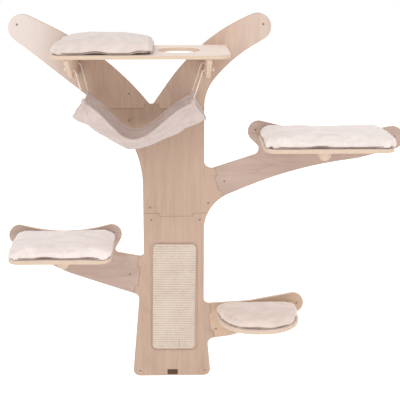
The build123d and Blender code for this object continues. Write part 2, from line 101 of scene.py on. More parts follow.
def tube(points, radius, sides=10, closed=False):
    """Verts and faces of a round tube; radius is a number or a function of the share along."""
    count = len(points)
    verts, faces = [], []
    normal = None
    for i, point in enumerate(points):
        after = points[(i + 1) % count] if closed else points[min(count - 1, i + 1)]
        before = points[i - 1] if closed or i else points[0]
        forward = (after - before).normalized()
        if normal is None:
            normal = forward.orthogonal().normalized()
        normal = (normal - forward * normal.dot(forward)).normalized()
        side = forward.cross(normal)
        size = radius(i / max(1, count - 1)) if callable(radius) else radius
        for k in range(sides):
            a = 2 * math.pi * k / sides
            verts.append(point + (normal * math.cos(a) + side * math.sin(a)) * size)
    faces += grid_faces(count, sides, wrap_rows=closed, wrap_columns=True)
    if not closed:
        faces.append(tuple(range(sides))[::-1])
        faces.append(tuple(range((count - 1) * sides, count * sides)))
    return verts, faces


def join_tubes(name, tubes):
    """One object from several sets of verts and faces."""
    verts, faces = [], []
    for tube_verts, tube_faces in tubes:
        base = len(verts)
        verts += tube_verts
        faces += [tuple(base + k for k in face) for face in tube_faces]
    return new_mesh_object(name, verts, faces)


# ---- materials ------------------------------------------------------------------------------
class Shader:
    """One node material, with short calls for the nodes that this scene uses."""

    def __init__(self, name, roughness, **constants):
        self.material = bpy.data.materials.new(name)
        self.material.use_nodes = True
        self.tree = self.material.node_tree
        self.tree.nodes.clear()
        self.out = self.add("ShaderNodeOutputMaterial")
        self.bsdf = self.add("ShaderNodeBsdfPrincipled")
        self.bsdf.inputs["Roughness"].default_value = roughness
        for key, value in constants.items():
            self.bsdf.inputs[key.replace("_", " ")].default_value = value
        self.link(self.bsdf.outputs[0], self.out.inputs["Surface"])
        self.coords = self.add("ShaderNodeTexCoord")
        self.position = self.coords.outputs["Object"]
        self.normal = self.coords.outputs["Normal"]

    def add(self, kind, **settings):
        node = self.tree.nodes.new(kind)
        for key, value in settings.items():
            setattr(node, key, value)
        return node

    def link(self, source, target):
        self.tree.links.new(source, target)

    def put(self, value, socket):
        if isinstance(value, bpy.types.NodeSocket):
            self.link(value, socket)
        else:
            socket.default_value = value

    def scaled(self, scale, rotation=(0, 0, 0)):
        node = self.add("ShaderNodeMapping")
        node.inputs["Scale"].default_value = scale
        node.inputs["Rotation"].default_value = rotation
        self.link(self.position, node.inputs["Vector"])
        return node.outputs[0]

    def noise(self, vector, scale, detail=3.0, rough=0.5, distortion=0.0):
        node = self.add("ShaderNodeTexNoise")
        node.inputs["Scale"].default_value = scale
        node.inputs["Detail"].default_value = detail
        node.inputs["Roughness"].default_value = rough
        node.inputs["Distortion"].default_value = distortion
        self.link(vector, node.inputs["Vector"])
        return node.outputs["Fac"]

    def math(self, operation, a, b=0.0):
        node = self.add("ShaderNodeMath", operation=operation)
        self.put(a, node.inputs[0])
        self.put(b, node.inputs[1])
        return node.outputs[0]

    def range(self, value, from_low, from_high, to_low, to_high):
        node = self.add("ShaderNodeMapRange", interpolation_type="SMOOTHSTEP")
        node.inputs["From Min"].default_value = from_low
        node.inputs["From Max"].default_value = from_high
        node.inputs["To Min"].default_value = to_low
        node.inputs["To Max"].default_value = to_high
        self.put(value, node.inputs["Value"])
        return node.outputs[0]

    def mix(self, amount, a, b):
        """Colour a where amount is 0 and b where it is 1."""
        node = self.add("ShaderNodeMix", data_type="RGBA")
        self.put(amount, node.inputs["Factor"])
        self.put((*a, 1) if isinstance(a, tuple) else a, node.inputs["A"])
        self.put((*b, 1) if isinstance(b, tuple) else b, node.inputs["B"])
        return node.outputs["Result"]

    def part(self, vector, axis):
        node = self.add("ShaderNodeSeparateXYZ")
        self.link(vector, node.inputs[0])
        return node.outputs[axis]

    def bump(self, height, distance, strength=1.0, after=None):
        node = self.add("ShaderNodeBump")
        node.inputs["Strength"].default_value = strength
        node.inputs["Distance"].default_value = distance
        self.link(height, node.inputs["Height"])
        if after is not None:
            self.link(after, node.inputs["Normal"])
        return node.outputs[0]

    def finish(self, colour, normal=None, roughness=None):
        self.link(colour, self.bsdf.inputs["Base Color"])
        if normal is not None:
            self.link(normal, self.bsdf.inputs["Normal"])
        if roughness is not None:
            self.link(roughness, self.bsdf.inputs["Roughness"])
        return self.material


AXES = {"X": 0, "Y": 1, "Z": 2}
PLY_PAIR = 0.0024        # one pale and one dark ply, seen on a board's edge


def plywood(name, grain, through, light, dark, seed=0.0, rim_shade=0.6, painted_light=None):
    """Birch-faced plywood: veneer grain along one axis, layered edges across another.

    The eased rim is darkened by the rim share: painted shade, the dark line of the seams between
    panels. An optional (axis, near, far, amount) draws the veneer lighter along an axis: painted light.
    """
    s = Shader(name, 0.6, Specular_IOR_Level=0.3)
    unshifted = s.position
    shift = s.add("ShaderNodeMapping")
    shift.inputs["Location"].default_value = (seed, seed * 0.7, seed * 1.3)
    s.link(unshifted, shift.inputs["Vector"])
    s.position = shift.outputs[0]

    # noise scales: each is smallest along the grain, which draws the pattern out
    broad = [7.0, 7.0, 7.0]
    broad[AXES[grain]] = 1.3
    along = [60.0, 60.0, 60.0]
    along[AXES[grain]] = 3.0
    fine = [330.0, 330.0, 330.0]
    fine[AXES[grain]] = 16.0
    flames = s.math("FRACT", s.math("MULTIPLY", s.noise(s.scaled(broad), 1.0, 2.0, 0.45, 0.6), 9.0))
    flames = s.math("ABSOLUTE", s.math("SUBTRACT", flames, 0.5))
    figure = s.noise(s.scaled(along), 1.0, 4.0, 0.55, 0.8)
    pores = s.noise(s.scaled(fine), 1.0, 3.0, 0.62, 0.2)
    patches = s.noise(s.position, 4.0, 2.0, 0.5, 0.5)
    face = s.mix(s.range(figure, 0.3, 0.72, 0.0, 0.85), light, dark)
    face = s.mix(s.range(flames, 0.0, 0.16, 0.34, 0.0), face, tuple(c * 0.86 for c in dark))
    face = s.mix(s.range(pores, 0.54, 0.74, 0.0, 0.4), face, tuple(c * 0.7 for c in dark))
    bright = tuple(min(1, c * 1.09) for c in light)
    face = s.mix(s.range(patches, 0.35, 0.7, 0.0, 0.45), face, bright)
    # painted light: the veneer drawn lighter along an axis, towards the limb tips
    if painted_light:
        axis, near, far, amount = painted_light
        reach = s.range(s.part(unshifted, axis), near, far, 0.0, amount)
        face = s.mix(reach, face, tuple(c + (0.86 - c) * 0.55 for c in light))

    depth = s.part(unshifted, through)
    layers = s.math("FRACT", s.math("MULTIPLY", depth, 1 / PLY_PAIR))
    bands = s.range(s.math("ABSOLUTE", s.math("SUBTRACT", layers, 0.5)), 0.2, 0.3, 0.0, 1.0)
    speckle = s.noise(s.scaled((420, 420, 420)), 1.0, 2.0, 0.6)
    pale_ply = s.mix(s.range(speckle, 0.4, 0.65, 0.0, 0.5), (0.74, 0.6, 0.48), (0.62, 0.47, 0.35))
    dark_ply = s.mix(s.range(speckle, 0.4, 0.65, 0.0, 0.6), (0.55, 0.4, 0.29), (0.42, 0.29, 0.2))
    edge = s.mix(bands, pale_ply, dark_ply)
    facing = s.math("ABSOLUTE", s.part(s.normal, through))
    colour = s.mix(s.range(facing, 0.55, 0.8, 0.0, 1.0), edge, face)
    outer = s.range(facing, 0.86, 0.985, 1.0, 0.0)
    inner = s.range(facing, 0.1, 0.35, 0.0, 1.0)
    rim = s.math("MULTIPLY", outer, inner)
    # painted shade: the eased rim drawn dark brown, for the dark seams between panels
    colour = s.mix(s.math("MULTIPLY", rim, rim_shade), colour, (0.17, 0.1, 0.06))
    coarse = s.bump(figure, 0.0004, 0.3)
    normal = s.bump(pores, 0.00025, 0.6, after=coarse)
    rough = s.range(pores, 0.3, 0.7, 0.52, 0.7)
    return s.finish(colour, normal, rough)


def turned_wood(name, light, dark):
    """A birch dowel: grain along Y."""
    s = Shader(name, 0.55, Specular_IOR_Level=0.32)
    figure = s.noise(s.scaled((70, 4, 70)), 1.0, 3.0, 0.5, 0.5)
    pores = s.noise(s.scaled((900, 40, 900)), 1.0, 2.0, 0.6)
    colour = s.mix(s.range(figure, 0.3, 0.7, 0.0, 1.0), light, dark)
    colour = s.mix(s.range(pores, 0.5, 0.75, 0.0, 0.4), colour, tuple(c * 0.7 for c in dark))
    return s.finish(colour, s.bump(pores, 0.0003, 0.6))


def plush(name, light, dark, pile=0.0016):
    """Short pile fabric: stroked patches, fine tufts and a soft sheen."""
    s = Shader(name, 0.92, Sheen_Weight=0.35, Sheen_Roughness=0.45, Specular_IOR_Level=0.15)
    strokes = s.noise(s.scaled((9, 13, 11), (0.3, 0.2, 0.7)), 1.0, 3.0, 0.6, 1.8)
    tufts = s.noise(s.position, 1 / pile, 2.0, 0.65)
    clumps = s.noise(s.position, 110.0, 3.0, 0.6, 0.6)
    colour = s.mix(s.range(strokes, 0.32, 0.68, 0.0, 1.0), light, dark)
    colour = s.mix(s.range(tufts, 0.4, 0.7, 0.0, 0.35), colour, tuple(c * 0.84 for c in dark))
    low = s.bump(clumps, 0.0022, 0.55)
    return s.finish(colour, s.bump(tufts, 0.0011, 0.8, after=low))


def cotton(name):
    """Twisted cotton rope."""
    s = Shader(name, 0.85, Sheen_Weight=0.2, Specular_IOR_Level=0.2)
    fibres = s.noise(s.scaled((900, 900, 260), (0.5, 0.2, 0)), 1.0, 3.0, 0.6)
    colour = s.mix(s.range(fibres, 0.35, 0.7, 0.0, 1.0), (0.84, 0.74, 0.68), (0.66, 0.55, 0.49))
    return s.finish(colour, s.bump(fibres, 0.0004, 0.7))


def sisal(name, middle, tilt, row):
    """Yarn in rows along X with dark grooves between them, and a short upright slit in the weave."""
    s = Shader(name, 0.9, Sheen_Weight=0.08, Specular_IOR_Level=0.15)
    local = s.add("ShaderNodeMapping", vector_type="TEXTURE")
    local.inputs["Location"].default_value = middle
    local.inputs["Rotation"].default_value = (0, tilt, 0)
    s.link(s.coords.outputs["Object"], local.inputs["Vector"])
    s.position = local.outputs[0]
    yarn = s.noise(s.scaled((160, 300, 700)), 1.0, 3.0, 0.6, 0.5)
    patches = s.noise(s.position, 14.0, 2.0)
    colour = s.mix(s.range(yarn, 0.32, 0.7, 0.0, 1.0), (0.65, 0.55, 0.47), (0.53, 0.425, 0.345))
    colour = s.mix(s.range(patches, 0.35, 0.7, 0.0, 0.3), colour, (0.74, 0.64, 0.56))
    across = s.part(s.position, 0)
    up = s.part(s.position, 2)
    share = s.math("FRACT", s.math("MULTIPLY", up, 1 / row))
    groove = s.math("ABSOLUTE", s.math("SUBTRACT", share, 0.5))
    colour = s.mix(s.range(groove, 0.14, 0.0, 0.0, 0.62), colour, (0.3, 0.2, 0.14))
    slit = s.math("ABSOLUTE", s.math("SUBTRACT", across, SLIT_X))
    slit = s.range(slit, 0.0011, 0.0005, 0.0, 0.75)
    slit = s.math("MULTIPLY", slit, s.range(up, SLIT_TOP, SLIT_TOP - 0.002, 0.0, 1.0))
    slit = s.math("MULTIPLY", slit, s.range(up, SLIT_BOTTOM - 0.002, SLIT_BOTTOM, 0.0, 1.0))
    colour = s.mix(slit, colour, (0.25, 0.16, 0.1))
    return s.finish(colour, s.bump(yarn, 0.0006, 0.8))


def metal(name, light, dark, roughness):
    """Bare steel, a little mottled."""
    s = Shader(name, roughness, Metallic=1.0)
    wear = s.noise(s.position, 900.0, 3.0, 0.6)
    colour = s.mix(s.range(wear, 0.35, 0.7, 0.0, 1.0), light, dark)
    return s.finish(colour, s.bump(wear, 0.0001, 0.3))


def plate_material(name):
    """A dark brown blank plate with a fine leather-like grain."""
    s = Shader(name, 0.5, Specular_IOR_Level=0.35)
    grain = s.noise(s.position, 1100.0, 2.0, 0.5)
    patches = s.noise(s.position, 90.0, 2.0)
    colour = s.mix(s.range(patches, 0.3, 0.7, 0.0, 1.0), (0.085, 0.042, 0.02), (0.06, 0.028, 0.012))
    return s.finish(colour, s.bump(grain, 0.0003, 0.5))


# The mat sits a little askew. Its slit is placed from the mat's own middle.
MAT_TILT = math.radians(0.8)
MAT_ROW = 0.0091
SLIT_X = 0.0215
SLIT_TOP = -0.170
SLIT_BOTTOM = -0.196
mat_low, mat_high = (Vector(v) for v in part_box("scratching_mat"))
mat_middle = (mat_low + mat_high) / 2

wood_trunk = plywood("plywood_trunk", "Z", "Y", (0.485, 0.342, 0.258), (0.425, 0.295, 0.222))
wood_left_limb = plywood(
    "plywood_left_limb",
    "Z",
    "Y",
    (0.54, 0.383, 0.295),
    (0.47, 0.323, 0.245),
    3.1,
    # painted light: the left limb drawn paler towards its tip
    painted_light=("X", -0.25, -0.52, 0.8),
)
wood_right_limb = plywood(
    "plywood_right_limb",
    "Z",
    "Y",
    (0.57, 0.412, 0.325),
    (0.5, 0.355, 0.275),
    4.6,
    # painted light: the right limb drawn a little paler towards its tip
    painted_light=("X", 0.14, 0.33, 0.25),
)
wood_branches = plywood("plywood_branches", "X", "Y", (0.478, 0.352, 0.296), (0.415, 0.298, 0.246), 5.7)
wood_low_branch = plywood("plywood_low_branch", "X", "Y", (0.55, 0.39, 0.285), (0.475, 0.33, 0.232), 7.4)
wood_boards = plywood(
    "plywood_boards", "X", "Z", (0.78, 0.665, 0.595), (0.7, 0.58, 0.5), 8.3, rim_shade=0.0
)
wood_brackets = plywood(
    # a little painted shade on the brackets' eased rims
    "plywood_brackets", "Y", "X", (0.66, 0.51, 0.41), (0.56, 0.41, 0.31), 11.9, rim_shade=0.2
)
wood_dowels = turned_wood("turned_birch", (0.7, 0.56, 0.45), (0.6, 0.45, 0.34))
top_fabric = plush("top_cushion_plush", (0.72, 0.625, 0.58), (0.64, 0.55, 0.505))
perch_fabric = plush("perch_cushion_plush", (0.83, 0.74, 0.71), (0.74, 0.65, 0.62))
low_fabric = plush("low_cushion_plush", (0.77, 0.645, 0.58), (0.68, 0.56, 0.5))
seam_braid = plush("seam_braid", (0.3, 0.2, 0.15), (0.22, 0.14, 0.1), pile=0.0008)
hammock_fabric = plush("hammock_plush", (0.62, 0.515, 0.48), (0.54, 0.445, 0.41))
rope_cotton = cotton("cotton_rope")
mat_sisal = sisal("woven_sisal", mat_middle, MAT_TILT, MAT_ROW)
dark_steel = metal("dark_screw_steel", (0.34, 0.26, 0.21), (0.2, 0.15, 0.12), 0.5)
bright_steel = metal("zinc_steel", (0.62, 0.62, 0.63), (0.42, 0.42, 0.44), 0.35)
staple_steel = metal("staple_wire", (0.6, 0.57, 0.53), (0.45, 0.42, 0.39), 0.4)
brown_plate = plate_material("blank_plate")

for material, names in (
    (wood_trunk, ("lower_trunk_panel", "middle_trunk_panel")),
    (wood_left_limb, ("upper_left_limb",)),
    (wood_right_limb, ("upper_right_limb",)),
    (wood_branches, ("left_branch_panel", "right_branch_panel")),
    (wood_low_branch, ("low_branch_panel",)),
    (wood_boards, ("top_shelf", "left_perch_board", "right_perch_board", "low_perch_board")),
    (wood_brackets, ("left_bracket", "right_bracket")),
    (wood_dowels, ("left_perch_dowel", "right_perch_dowel", "low_perch_dowel", "bracket_pins")),
    (dark_steel, ("wall_screws",)),
    (
        bright_steel,
        (
            "top_shelf_screws",
            "left_perch_screws",
            "right_perch_screws",
            "low_perch_screws",
            "bracket_screws",
            "dowel_screws",
        ),
    ),
    (staple_steel, ("mat_staples",)),
    (brown_plate, ("name_plate",)),
):
    for node in names:
        set_material(nodes[node], material)


# ---- camera ---------------------------------------------------------------------------------
CAMERA_PLACE = (-0.0003, -3.059, 1.5894)
CAMERA_TILT = 0.234
CAMERA_TURN = -0.0217


def make_camera():
    """In front of the trunk, a little above the top shelf, tilted slightly down."""
    data = bpy.data.cameras.new("camera")
    data.lens = 79.75
    data.sensor_width = 36
    data.shift_x = 0.02
    data.shift_y = -0.12
    data.clip_end = 60
    camera = bpy.data.objects.new("camera", data)
    camera.location = CAMERA_PLACE
    camera.rotation_euler = Euler((math.pi / 2 - CAMERA_TILT, 0, CAMERA_TURN))
    bpy.context.scene.collection.objects.link(camera)
    bpy.context.scene.camera = camera


make_camera()


# ---- light and floor ------------------------------------------------------------------------
FLOOR_HALF = 14
FLOOR_HEIGHT = -0.35        # the tree hangs on a wall, clear of the floor


def area_light(name, place, target, size, power):
    data = bpy.data.lights.new(name, "AREA")
    data.shape = "SQUARE"
    data.size = size
    data.energy = power
    lamp = bpy.data.objects.new(name, data)
    lamp.location = place
    aim = Vector(target) - Vector(place)
    lamp.rotation_euler = aim.to_track_quat("-Z", "Y").to_euler()
    bpy.context.scene.collection.objects.link(lamp)


def make_studio():
    area_light("key_light", (-1.6, -3.2, 3.4), (0, 0, 0.8), 2.0, 34)
    area_light("fill_light", (2.6, -2.6, 1.6), (0, 0, 0.7), 2.6, 10)
    world = bpy.data.worlds.new("studio")
    world.use_nodes = True
    background = world.node_tree.nodes["Background"]
    background.inputs["Color"].default_value = (1, 1, 1, 1)
    background.inputs["Strength"].default_value = 1.0
    bpy.context.scene.world = world
    bpy.context.scene.view_settings.view_transform = "Standard"

    corners = [(x * FLOOR_HALF, y * FLOOR_HALF, 0) for x, y in ((-1, -1), (1, -1), (1, 1), (-1, 1))]
    floor = new_mesh_object("floor", corners, [(0, 1, 2, 3)])
    floor.location.z = FLOOR_HEIGHT
    s = Shader(
        "floor_white",
        0.9,
        Specular_IOR_Level=0.1,
        Emission_Color=(1, 1, 1, 1),
        Emission_Strength=0.3,
    )
    cloudy = s.noise(s.position, 0.7, 2.0)
    set_material(floor, s.finish(s.mix(cloudy, (0.93, 0.93, 0.93), (0.96, 0.96, 0.96))))


make_studio()


# ---- cushions -------------------------------------------------------------------------------
RING_STEP = 0.006           # the spacing of a pad's points, and the size of its voxels
PAD_CORNER = 0.034
PAD_OVERHANG = 0.002        # how far a pad reaches past its CAD solid's front and sides
PAD_UNDER = 0.007           # how far its flat underside stays back from its widest ring
PAD_DOME = 1.9              # the power of the dome: 2 is a parabola
PAD_PRESSURE = 4.0
SWELL_FRAMES = 20
PAD_SWELL = 0.010           # the furthest that the cloth may move while it swells
PAD_SLACK = 0.004           # the room that a pad has round its CAD solid's box
RUMPLE = 0.0028
RUMPLE_SCALE = 11.0
CREASE_DEPTH = 0.0016
HALF_MOON_BEND = 0.44       # the half moon's front corner radius as a share of its width
BRAID_HEIGHT = 0.0055       # the seam braid's height over the underside
BRAID_RADIUS = 0.0015


def square_ring(low, high, radius):
    """Points round a rectangle with round corners, seen from above, with their outward normals."""
    ring = []
    corners = (
        (high.x - radius, high.y - radius, 0),
        (low.x + radius, high.y - radius, 1),
        (low.x + radius, low.y + radius, 2),
        (high.x - radius, low.y + radius, 3),
    )
    arc = max(6, round(radius * math.pi / 2 / RING_STEP))
    for k, (x, y, quarter) in enumerate(corners):
        for i in range(arc + 1):
            a = (quarter + i / arc) * math.pi / 2
            n = Vector((math.cos(a), math.sin(a), 0))
            ring.append((Vector((x, y, 0)) + n * radius, n))
        after = corners[(k + 1) % 4]
        length = math.hypot(after[0] - x, after[1] - y)
        pieces = max(2, round(length / RING_STEP))
        n = ring[-1][1]
        for i in range(1, pieces):
            share = i / pieces
            here = Vector((x + (after[0] - x) * share, y + (after[1] - y) * share, 0))
            ring.append((here + n * radius, n))
    return ring


def half_moon_ring(low, high, bend, back_corner):
    """Points round a half moon with a straight back at the wall side."""
    ring = []
    corners = (
        (high.x - back_corner, high.y - back_corner, back_corner, 0),
        (low.x + back_corner, high.y - back_corner, back_corner, 1),
        (low.x + bend, low.y + bend, bend, 2),
        (high.x - bend, low.y + bend, bend, 3),
    )
    for k, (x, y, radius, quarter) in enumerate(corners):
        arc = max(6, round(radius * math.pi / 2 / RING_STEP))
        for i in range(arc + 1):
            a = (quarter + i / arc) * math.pi / 2
            n = Vector((math.cos(a), math.sin(a), 0))
            ring.append((Vector((x, y, 0)) + n * radius, n))
        last, n = ring[-1]
        x2, y2, radius2, quarter2 = corners[(k + 1) % 4]
        a = quarter2 * math.pi / 2
        first = Vector((x2 + radius2 * math.cos(a), y2 + radius2 * math.sin(a), 0))
        pieces = round((first - last).length / RING_STEP)
        for i in range(1, pieces):
            ring.append((last.lerp(first, i / pieces), n))
    return ring


def pad_from_ring(name, ring, bottom, rim, crown):
    """A closed pad: flat below, round sides as high as rim, and a dome that rises by crown."""
    rings = 16
    sides = 8
    centre = sum((p for p, n in ring), Vector()) / len(ring)
    count = len(ring)
    profile = []
    for i in range(1, rings + 1):
        profile.append((PAD_UNDER, 0.0, i / rings))
    for i in range(1, sides):
        a = math.pi * i / sides - math.pi / 2
        profile.append((PAD_UNDER * (1 - math.cos(a)), rim * (0.5 + 0.5 * math.sin(a)), 1.0))
    for i in range(rings, 0, -1):
        profile.append((PAD_UNDER, rim, i / rings))
    verts = [centre + Vector((0, 0, bottom))]
    for number, (inset, lift, share) in enumerate(profile):
        for point, normal in ring:
            here = centre + (point - normal * inset - centre) * share
            z = bottom + lift
            if number >= rings + sides - 1:
                z += crown * (1 - share**PAD_DOME)
            verts.append(Vector((here.x, here.y, z)))
    verts.append(centre + Vector((0, 0, bottom + rim + crown)))
    faces = [(0, 1 + (j + 1) % count, 1 + j) for j in range(count)]
    faces += grid_faces(len(profile), count, wrap_columns=True, offset=1)
    last = 1 + (len(profile) - 1) * count
    faces += [(len(verts) - 1, last + j, last + (j + 1) % count) for j in range(count)]
    return new_mesh_object(name, verts, faces)


def inflate(obj, floor_z):
    """Cloth under pressure: the pad swells and wrinkles, no point moving further than PAD_SWELL."""
    remesh = obj.modifiers.new("remesh", "REMESH")
    remesh.mode = "VOXEL"
    remesh.voxel_size = RING_STEP
    apply_modifiers(obj)
    start = [v.co.copy() for v in obj.data.vertices]
    cloth = obj.modifiers.new("cloth", "CLOTH")
    settings = cloth.settings
    settings.quality = 5
    settings.mass = 0.25
    settings.use_pressure = True
    settings.uniform_pressure_force = PAD_PRESSURE
    settings.tension_stiffness = 18
    settings.compression_stiffness = 18
    settings.shear_stiffness = 6
    settings.bending_stiffness = 0.35
    settings.shrink_min = -0.05
    settings.effector_weights.gravity = 0
    scene = bpy.context.scene
    cloth.point_cache.frame_start = 1
    cloth.point_cache.frame_end = SWELL_FRAMES
    for number in range(1, SWELL_FRAMES + 1):
        scene.frame_set(number)
    apply_modifiers(obj)
    scene.frame_set(1)
    for vertex, before in zip(obj.data.vertices, start):
        move = vertex.co - before
        if move.length > PAD_SWELL:
            vertex.co = before + move.normalized() * PAD_SWELL
        vertex.co.z = max(vertex.co.z, floor_z)


def rumple(obj, seed, bottom, height):
    """Soft hand-made unevenness, least near the underside."""
    offset = Vector((seed, seed * 0.37, 0))
    for vertex in obj.data.vertices:
        co = vertex.co
        share = smoothstep(0.1, 0.8, (co.z - bottom) / height)
        wave = noise.noise(co * RUMPLE_SCALE + offset)
        wave += 0.5 * noise.noise(co * RUMPLE_SCALE * 2.3 + offset)
        crease = abs(noise.noise(Vector((co.x * 9, co.y * 16, 0)) + offset * 3))
        crease = 1 - smoothstep(0.0, 0.09, crease)
        co.z += (RUMPLE * wave - CREASE_DEPTH * crease) * share
        co.x += 0.5 * RUMPLE * noise.noise(co * RUMPLE_SCALE * 1.3 + offset * 2)
        co.y += 0.5 * RUMPLE * noise.noise(co * RUMPLE_SCALE * 1.3 - offset * 2)


def rim_wave(co, low, seed):
    """How far the lower front edge is lifted, from 0 to 1."""
    near = 1 - smoothstep(0.0, 0.06, co.y - low.y)
    return near * smoothstep(-0.15, 0.45, noise.noise(Vector((co.x * 13 + seed, 0, 0))))


def lift_rim(obj, low, bottom, rim, seed, amount):
    """The lower front edge waves, as on a pad whose filling has moved."""
    for vertex in obj.data.vertices:
        co = vertex.co
        near = 1 - smoothstep(0.2, 1.0, (co.z - bottom) / rim)
        co.z += amount * rim_wave(co, low, seed) * near


def make_braid(pad, node, ring, low, seed, wave):
    """The dark seam braid round a pad's lower edge, laid on the pad's own surface."""
    tree = BVHTree.FromObject(pad, bpy.context.evaluated_depsgraph_get())
    line = []
    for point, normal in ring[::2]:
        height = low.z + BRAID_HEIGHT + wave * rim_wave(point, low, seed)
        start = Vector((point.x, point.y, height)) + normal * 0.03
        hit = tree.ray_cast(start, -normal, 0.08)[0]
        if hit is not None:
            line.append(hit)
    for _ in range(3):
        count = len(line)
        line = [(line[i - 1] + line[i] * 2 + line[(i + 1) % count]) / 4 for i in range(count)]
    verts, faces = tube(line, BRAID_RADIUS, sides=8, closed=True)
    braid = new_mesh_object(node + "_braid", verts, faces)
    set_material(braid, seam_braid)
    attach(braid, node)


def keep_inside(obj, low, high):
    """No point leaves the room that the pad has: its own solid's box and PAD_SLACK round it."""
    for vertex in obj.data.vertices:
        co = vertex.co
        co.x = min(high.x + PAD_SLACK, max(low.x - PAD_SLACK, co.x))
        co.y = min(high.y, max(low.y - PAD_SLACK, co.y))
        co.z = min(high.z + PAD_SLACK, max(low.z, co.z))


def make_cushion(node, seed, fabric, rim, crown, half_moon=False, wave=0.005):
    """One loose cushion in the room of its CAD solid, with its braid."""
    low, high = (Vector(v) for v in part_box(node))
    ring_low = low - Vector((PAD_OVERHANG, PAD_OVERHANG, 0))
    ring_high = Vector((high.x + PAD_OVERHANG, high.y, high.z))
    if half_moon:
        bend = HALF_MOON_BEND * (ring_high.x - ring_low.x)
        ring = half_moon_ring(ring_low, ring_high, bend, PAD_CORNER)
    else:
        ring = square_ring(ring_low, ring_high, PAD_CORNER)
    height = high.z - low.z
    pad = pad_from_ring(node + "_pad", ring, low.z, rim, crown)
    inflate(pad, low.z)
    rumple(pad, seed, low.z, height)
    lift_rim(pad, low, low.z, rim, seed, wave)
    keep_inside(pad, low, high)
    smooth = pad.modifiers.new("smooth", "SUBSURF")
    smooth.levels = 1
    smooth.render_levels = 1
    shade_smooth(pad)
    set_material(pad, fabric)
    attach(pad, node)
    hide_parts(node)
    make_braid(pad, node, ring, low, seed, wave)


make_cushion("top_cushion", 1.7, top_fabric, 0.019, 0.029, wave=0.009)
make_cushion("right_cushion", 5.3, perch_fabric, 0.028, 0.010)
make_cushion("left_cushion", 9.1, perch_fabric, 0.028, 0.010)
make_cushion("low_cushion", 12.9, low_fabric, 0.024, 0.011, half_moon=True)


# ---- hammock --------------------------------------------------------------------------------
cuff_low, cuff_high = (Vector(v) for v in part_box("hammock_cuffs"))
CUFF_RADIUS = 0.008
HAMMOCK_LEFT = cuff_low.x + CUFF_RADIUS
HAMMOCK_RIGHT = cuff_high.x - CUFF_RADIUS
HAMMOCK_FRONT = cuff_low.y + CUFF_RADIUS
HAMMOCK_REAR = cuff_high.y - CUFF_RADIUS
CORNER_Z = cuff_low.z + 0.005        # where the cloth meets its gathered corners
RIM_SAG = 0.121          # the long edges hang this far below the corners
FLOOR_DEPTH = 0.160      # the floor's lowest point below the corners
LEFT_DROOP = 0.053       # the middle of each short edge below the corners
RIGHT_DROOP = 0.063
END_BULGE = 0.040        # how far the short edges bow outward
LOWEST = 0.44            # the lowest point's place from left to right
VEE_TIP = 0.4            # how round the lowest point is
FAN_FOLD = 0.0034        # the height of the folds at the corners
SOFT_FOLD = 0.0042       # and of the softer ones on the floor
CLOTH_THICKNESS = 0.006
HEM_RADIUS = 0.0062
THROAT_RADIUS = 0.0046   # the hollow that the rope's end goes into
THROAT_DEPTH = 0.008
GATHER_LENGTH = 0.021
BINDING_RADIUS = 0.0063
BINDING_BELOW = 0.0058   # the first turn of the binding below the corner's top
BINDING_PITCH = 0.0016


def vee(t, rounding):
    """1 at the middle and 0 at the end, nearly straight, with a round tip."""
    top = math.sqrt(1 + rounding**2)
    return (top - math.sqrt(t * t + rounding**2)) / (top - rounding)


def rim_curve(t):
    """As vee, but flatter beside the corners, where the cloth is stretched."""
    return 0.35 * vee(t, VEE_TIP) + 0.65 * (0.5 + 0.5 * math.cos(math.pi * t))


def sling_point(along, across):
    """The middle of the cloth: along runs left to right, across rear to front."""
    span = LOWEST if along < LOWEST else 1 - LOWEST
    t = min(1.0, abs(along - LOWEST) / span)
    rim = CORNER_Z - RIM_SAG * rim_curve(t)
    droop = LEFT_DROOP if along < LOWEST else RIGHT_DROOP
    ground = CORNER_Z - droop - (FLOOR_DEPTH - droop) * vee(t, VEE_TIP)
    hollow = max(0.0, 1 - abs(2 * across - 1) ** 2.6)
    outward = END_BULGE * hollow * (2 * along - 1) * abs(2 * along - 1)
    x = HAMMOCK_LEFT + (HAMMOCK_RIGHT - HAMMOCK_LEFT) * along + outward
    y = HAMMOCK_REAR + (HAMMOCK_FRONT - HAMMOCK_REAR) * across
    z = rim + (ground - rim) * hollow
    return Vector((x, y, z))


def sling_folds(along, across):
    """Folds that fan out of the four corners, and softer ones across the floor."""
    height = 0.0
    for corner_along in (0.0, 1.0):
        for corner_across in (0.0, 1.0):
            du = (along - corner_along) * 0.42
            dv = (across - corner_across) * 0.24
            reach = math.hypot(du, dv)
            angle = math.atan2(abs(dv), abs(du))
            fade = smoothstep(0.0, 0.03, reach) * (1 - smoothstep(0.05, 0.17, reach))
            turn = angle * 11 + 1.7 * corner_along + corner_across
            height += fade * FAN_FOLD * math.sin(turn)
    soft = noise.noise(Vector((along * 6.0, across * 3.2, 4.2)))
    soft += 0.6 * noise.noise(Vector((along * 14.0, across * 8.0, 1.1)))
    edge = smoothstep(0.0, 0.08, min(across, 1 - across))
    return (height + SOFT_FOLD * soft) * (0.3 + 0.7 * edge)


